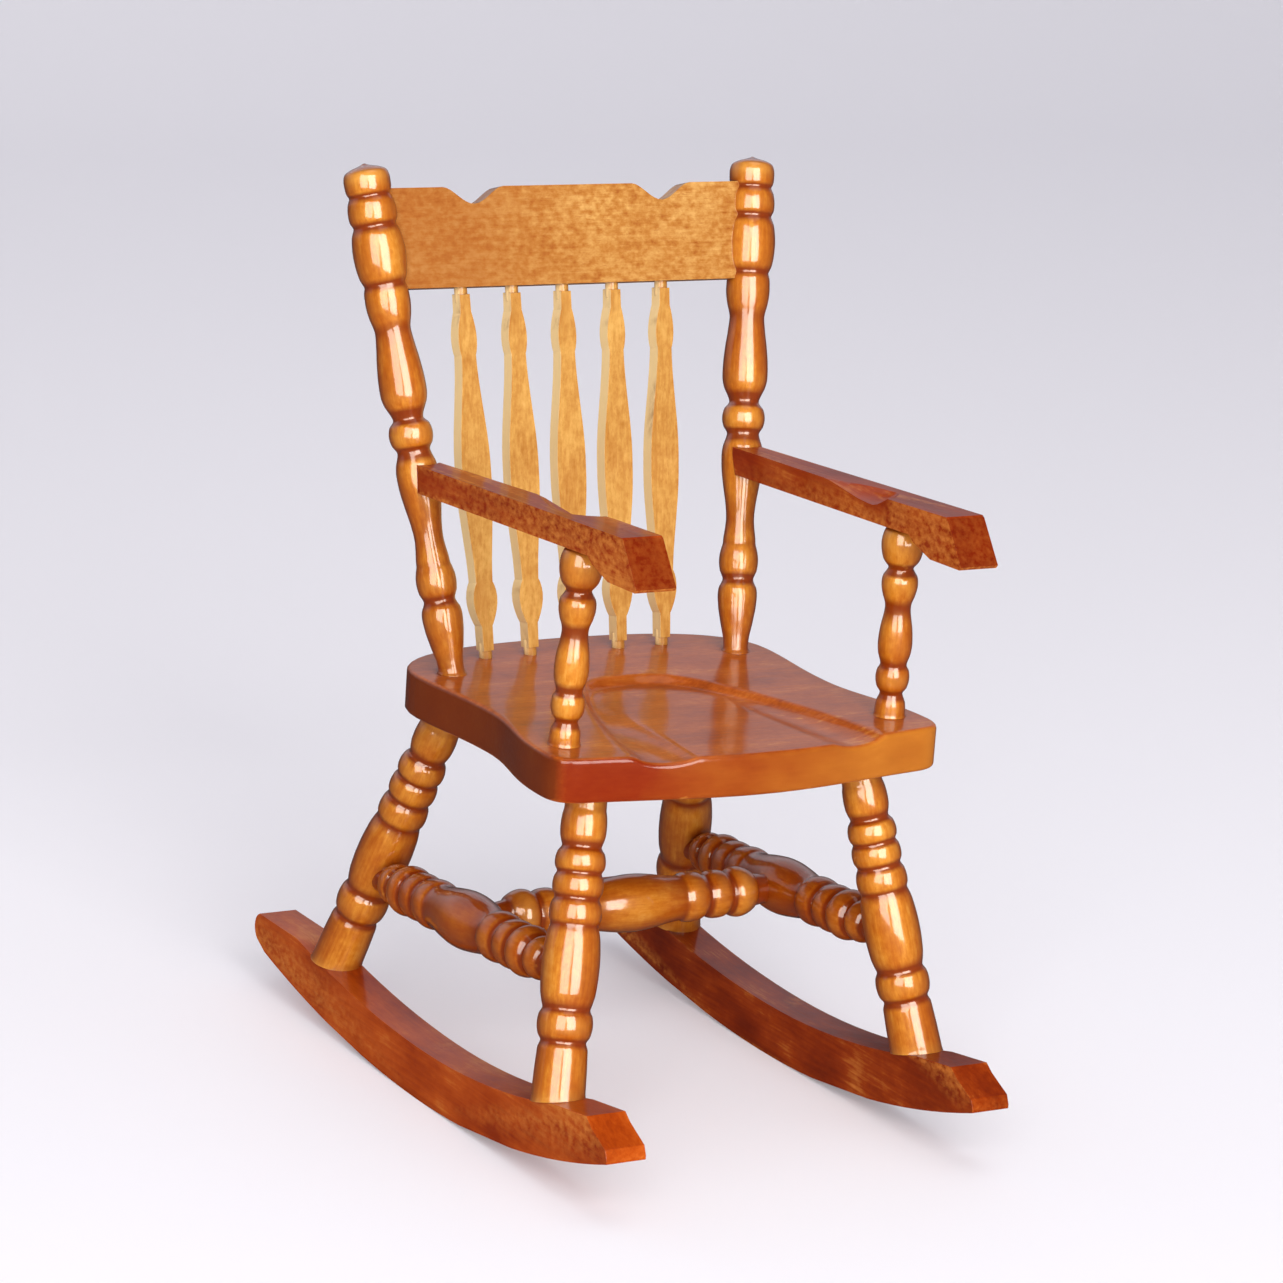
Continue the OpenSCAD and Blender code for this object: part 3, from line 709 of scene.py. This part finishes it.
# Each look: four colours from the deepest to the palest, the colour in grooves and corners, shares of the
# grain layers in the tone, then shares of pores, pooled stain, corner stain with painted shade and rubbed
# edges, and the finish. The slanting colour is partly painted edge shade, and facing colours are painted
# light and shade.
TURNED_LOOK = dict(
    deep=(0.30, 0.055, 0.002), mid=(0.42, 0.110, 0.006),
    pale=(0.54, 0.190, 0.016), gold=(0.68, 0.330, 0.060),
    groove=(0.19, 0.021, 0.001), slanting=(0.21, 0.029, 0.001),
    patchy=1.0, streaky=0.55, mottled=0.45, pores=0.30, pooling=0.95, stain_and_shade=0.8, rubbed=0.4,
    rough=0.34, sheen=0.30, coat=1.0, coat_rough=0.10, bump=0.30, peel=0.4, turned=True)
LEG_LOOK = dict(TURNED_LOOK, ends=((0.3, (0.62, 0.30, 0.05), 0.80, 9.0),))
STRETCHER_LOOK = dict(
    TURNED_LOOK,
    deep=(0.24, 0.035, 0.001), mid=(0.33, 0.065, 0.003),
    pale=(0.42, 0.110, 0.007), gold=(0.56, 0.21, 0.03), sheen=0.15)
PALE_LOOK = dict(
    deep=(0.36, 0.135, 0.022), mid=(0.46, 0.215, 0.045),
    pale=(0.55, 0.290, 0.070), gold=(0.64, 0.38, 0.11), groove=(0.22, 0.05, 0.006),
    patchy=0.8, streaky=0.9, mottled=0.9, pores=0.40, stain_and_shade=0.75,
    rubbed=0.7, rubbed_to=(0.30, 0.085, 0.010),
    rough=0.42, sheen=0.1, coat=0.55, coat_rough=0.16, bump=0.5, peel=0.5)
CREST_LOOK = dict(
    PALE_LOOK,
    deep=(0.28, 0.070, 0.009), mid=(0.40, 0.160, 0.030),
    pale=(0.50, 0.250, 0.066), gold=(0.66, 0.38, 0.12),
    mottled=2.0, coat=0.75, coat_rough=0.12, peel=0.7, left_brown=0.6)
# The slats' left faces are painted paler: painted light.
SLAT_LOOK = dict(PALE_LOOK, facing_light_and_stain=(((-1, 0, 0), (1.0, 0.76, 0.37), 0.8),))
# The seat's left and right sides are painted darker: end-grain stain and painted shade.
SEAT_LOOK = dict(
    deep=(0.23, 0.038, 0.004), mid=(0.35, 0.068, 0.007),
    pale=(0.44, 0.100, 0.012), gold=(0.62, 0.25, 0.045), groove=(0.12, 0.018, 0.002),
    patchy=1.0, streaky=0.7, mottled=0.5, pores=0.35, stain_and_shade=0.6, rubbed=0.8,
    rough=0.38, sheen=0.04, coat=0.6, coat_rough=0.12, bump=0.5, peel=0.4,
    facing_light_and_stain=(((-1, 0, 0), (0.12, 0.018, 0.003), 0.9), ((1, 0, 0), (0.12, 0.018, 0.003), 0.9)),
    front=((0.18, 0.009, 0.001), (0.42, 0.140, 0.014)))
RUSSET_LOOK = dict(
    deep=(0.23, 0.023, 0.001), mid=(0.34, 0.045, 0.002),
    pale=(0.42, 0.068, 0.005), gold=(0.58, 0.19, 0.03), groove=(0.10, 0.010, 0.001),
    patchy=0.9, streaky=0.45, mottled=0.15, pores=0.20, stain_and_shade=0.5, rubbed=0.8,
    rough=0.40, sheen=0.04, coat=0.40, coat_rough=0.10, bump=0.45, peel=0.35)
# A darker copy for the right rocker, whose seen side is in the chair's shade: painted shade.
SHADED_LOOK = dict(
    RUSSET_LOOK, deep=(0.13, 0.011, 0.001), mid=(0.20, 0.020, 0.001), pale=(0.27, 0.035, 0.002))
# The arms' front faces are painted darker: painted shade.
ARM_LOOK = dict(
    RUSSET_LOOK, deep=(0.19, 0.015, 0.001), mid=(0.26, 0.025, 0.001), pale=(0.32, 0.040, 0.003),
    facing_light_and_stain=(((0, -1, 0), (0.09, 0.004, 0.001), 0.85),))


def paint(obj, way, seed, look):
    material = wood("finish_" + obj.name, way, seed, look)
    obj.data.materials.clear()
    obj.data.materials.append(material)


# ------------------------------------------------------------------ build

UPWARD = (0, 0, 1)


def board(node, edge, way, look, seed):
    """A sawn piece whose grain runs along way."""
    paint(softened(node, edge), way, seed, look)


def upright(node, tenon, hidden_top, seed):
    """A post or arm support, standing glued in the top of the seat."""
    piece = Turned(node, UPWARD, seed)
    warp = into_plane(piece, SEAT_TOP, 1)
    obj = lathe(piece, tenon - SUNK, piece.length - hidden_top, joint_rings(tenon), warp)
    paint(obj, piece.way, seed, TURNED_LOOK)


def leg(node, seed):
    """A leg, from its foot on the rocker to its end in the seat."""
    piece = Turned(node, UPWARD, seed)
    top = piece.length - LEG_TENON
    rings = np.concatenate([joint_rings(FOOT_PIN), joint_rings(top)])
    obj = lathe(piece, FOOT_PIN, top + SUNK, rings, on_rocker(piece))
    paint(obj, piece.way, seed, LEG_LOOK)


def stretcher(node, way, look, seed):
    """A stretcher, whose plain ends run on into their sockets."""
    piece = Turned(node, way, seed)
    obj = lathe(piece, 0.0, piece.length, [], still)
    paint(obj, piece.way, seed, look)


def build():
    for seed, side in ((1, "left"), (11, "right")):
        upright("back_post_" + side, POST_TENON, 0.0, seed)
        upright("arm_support_" + side, SUPPORT_TENON, SUPPORT_PIN, seed + 1)
        leg("front_leg_" + side, seed + 2)
        leg("rear_leg_" + side, seed + 3)
        stretcher("side_stretcher_" + side, (0, 1, 0), STRETCHER_LOOK, seed + 4)
        board("arm_" + side, 0.35, (0, 1, 0), ARM_LOOK, seed + 5)
        # The right rocker takes the darker copy: painted shade.
        look = RUSSET_LOOK if side == "left" else SHADED_LOOK
        board("rocker_" + side, 0.4, (0, 1, 0), look, seed + 6)
    stretcher("cross_stretcher", (1, 0, 0), TURNED_LOOK, 31)
    board("crest_rail", 0.3, (1, 0, 0), CREST_LOOK, 32)
    for i in range(1, 6):
        board(f"slat_{i}", 0.35, UPWARD, SLAT_LOOK, 40 + i)
    paint(seat_board(), (1, 0, 0), 50, SEAT_LOOK)


# ------------------------------------------------------------------ stage

# Share of the floor that is hidden from the varnish, and the strength of the
# light from all round, as it lights the wood and as the varnish mirrors it.
FLOOR_MIRROR = 0.92
WORLD_LIGHT = 0.40
WORLD_MIRROR = 0.08
PAPER = (0.70, 0.69, 0.73)
PAPER_GLOW = 0.29
DAYLIGHT = (1.0, 0.98, 0.95)
SKY = (0.93, 0.92, 1.0, 1)


def paper(name, colour, glow):
    """Matt studio paper that glows a little, as if lit from all round.

    Its floor is dimmed in the varnish's reflections, as by a darker room.
    """
    material = bpy.data.materials.new(name)
    g = Graph(material)
    surface = g.add("ShaderNodeBsdfPrincipled")
    surface.inputs["Base Color"].default_value = (*colour, 1)
    surface.inputs["Roughness"].default_value = 0.9
    surface.inputs["Emission Color"].default_value = (*colour, 1)
    surface.inputs["Emission Strength"].default_value = glow
    mirrored = g.add("ShaderNodeLightPath").outputs["Is Glossy Ray"]
    floor = g.math("MULTIPLY", g.facing((0, 0, 1)), FLOOR_MIRROR, clamp=True)
    dark = g.add("ShaderNodeEmission")
    dark.inputs["Strength"].default_value = 0.0
    both = g.add("ShaderNodeMixShader")
    g.link(g.math("MULTIPLY", mirrored, floor), both.inputs[0])
    g.link(surface.outputs[0], both.inputs[1])
    g.link(dark.outputs[0], both.inputs[2])
    out = g.add("ShaderNodeOutputMaterial")
    g.link(both.outputs[0], out.inputs["Surface"])
    return material


def backdrop():
    """A pale floor that curves up into a wall behind the chair."""
    half, near, back, top, bend = 3.2, -2.5, 1.2, 1.6, 0.5
    rows = [(near, 0.0), (back - bend, 0.0)]
    rows += [(back - bend + bend * math.sin(a), bend - bend * math.cos(a))
             for a in np.linspace(0, math.pi / 2, 24)[1:]]
    rows += [(back, top)]
    verts = [(x, y, z) for y, z in rows for x in (-half, half)]
    faces = [(2 * i, 2 * i + 1, 2 * i + 3, 2 * i + 2) for i in range(len(rows) - 1)]
    mesh = bpy.data.meshes.new("backdrop")
    mesh.from_pydata(verts, [], faces)
    mesh.shade_smooth()
    obj = bpy.data.objects.new("backdrop", mesh)
    bpy.context.scene.collection.objects.link(obj)
    mesh.materials.append(paper("backdrop_paper", PAPER, PAPER_GLOW))


def way_to(azimuth, elevation):
    """Unit vector from the chair towards an azimuth and elevation in degrees."""
    a, e = math.radians(azimuth), math.radians(elevation)
    return Vector((math.sin(a) * math.cos(e), -math.cos(a) * math.cos(e), math.sin(e)))


def area_light(name, azimuth, elevation, distance, width, height, power, mirrored, lighting):
    """A rectangle of light that faces the chair.

    mirrored says whether varnish mirrors it, lighting whether it lights wood.
    """
    back = way_to(azimuth, elevation)
    light = bpy.data.lights.new(name, "AREA")
    light.shape = "RECTANGLE"
    light.size, light.size_y = width, height
    light.energy = power
    light.color = DAYLIGHT
    obj = bpy.data.objects.new(name, light)
    obj.location = (cad_low + cad_high) / 2 + back * distance
    obj.rotation_mode = "QUATERNION"
    obj.rotation_quaternion = (-back).to_track_quat("-Z", "Y")
    obj.visible_glossy, obj.visible_diffuse = mirrored, lighting
    bpy.context.scene.collection.objects.link(obj)


def camera(azimuth, elevation, roll, distance, lens, target):
    back = way_to(azimuth, elevation)
    data = bpy.data.cameras.new("camera")
    data.lens, data.sensor_width = lens, 36
    data.clip_start, data.clip_end = 0.01, 20
    obj = bpy.data.objects.new("camera", data)
    obj.location = target + back * distance
    obj.rotation_mode = "QUATERNION"
    obj.rotation_quaternion = (-back).to_track_quat("-Z", "Y") @ Quaternion((0, 0, 1), math.radians(roll))
    bpy.context.scene.collection.objects.link(obj)
    bpy.context.scene.camera = obj


def world_light():
    """Even light from all round, dimmed where the varnish would mirror it."""
    world = bpy.data.worlds.new("room")
    bpy.context.scene.world = world
    world.use_nodes = True
    tree = world.node_tree
    light = tree.nodes["Background"]
    light.inputs["Color"].default_value = SKY
    dim = tree.nodes.new("ShaderNodeMapRange")
    dim.inputs["To Min"].default_value = WORLD_LIGHT
    dim.inputs["To Max"].default_value = WORLD_MIRROR
    tree.links.new(tree.nodes.new("ShaderNodeLightPath").outputs["Is Glossy Ray"], dim.inputs["Value"])
    tree.links.new(dim.outputs["Result"], light.inputs["Strength"])


def lights():
    """Two tall window panes behind the camera, and a soft light overhead.

    The panes that the varnish mirrors are wider than the ones that give light.
    """
    for name, azimuth, power in (("pane_left", -47, 12.0), ("pane_right", -4, 18.0)):
        area_light(name, azimuth, 20, 0.9, 0.58, 0.80, power, mirrored=True, lighting=False)
    for name, azimuth, power in (("daylight_left", -38, 4.2), ("daylight_right", -8, 7.0)):
        area_light(name, azimuth, 20, 0.9, 0.37, 0.76, power, mirrored=False, lighting=True)
    area_light("top_soft", 20, 80, 1.2, 0.9, 0.9, 2.8, mirrored=True, lighting=True)


build()
backdrop()
world_light()
lights()
camera(-31.01, 14.19, 3.97, 565.2 * MM, 131.0, Vector((-1.79, -3.03, 56.5)) * MM)
bpy.context.scene.view_settings.view_transform = "Standard"
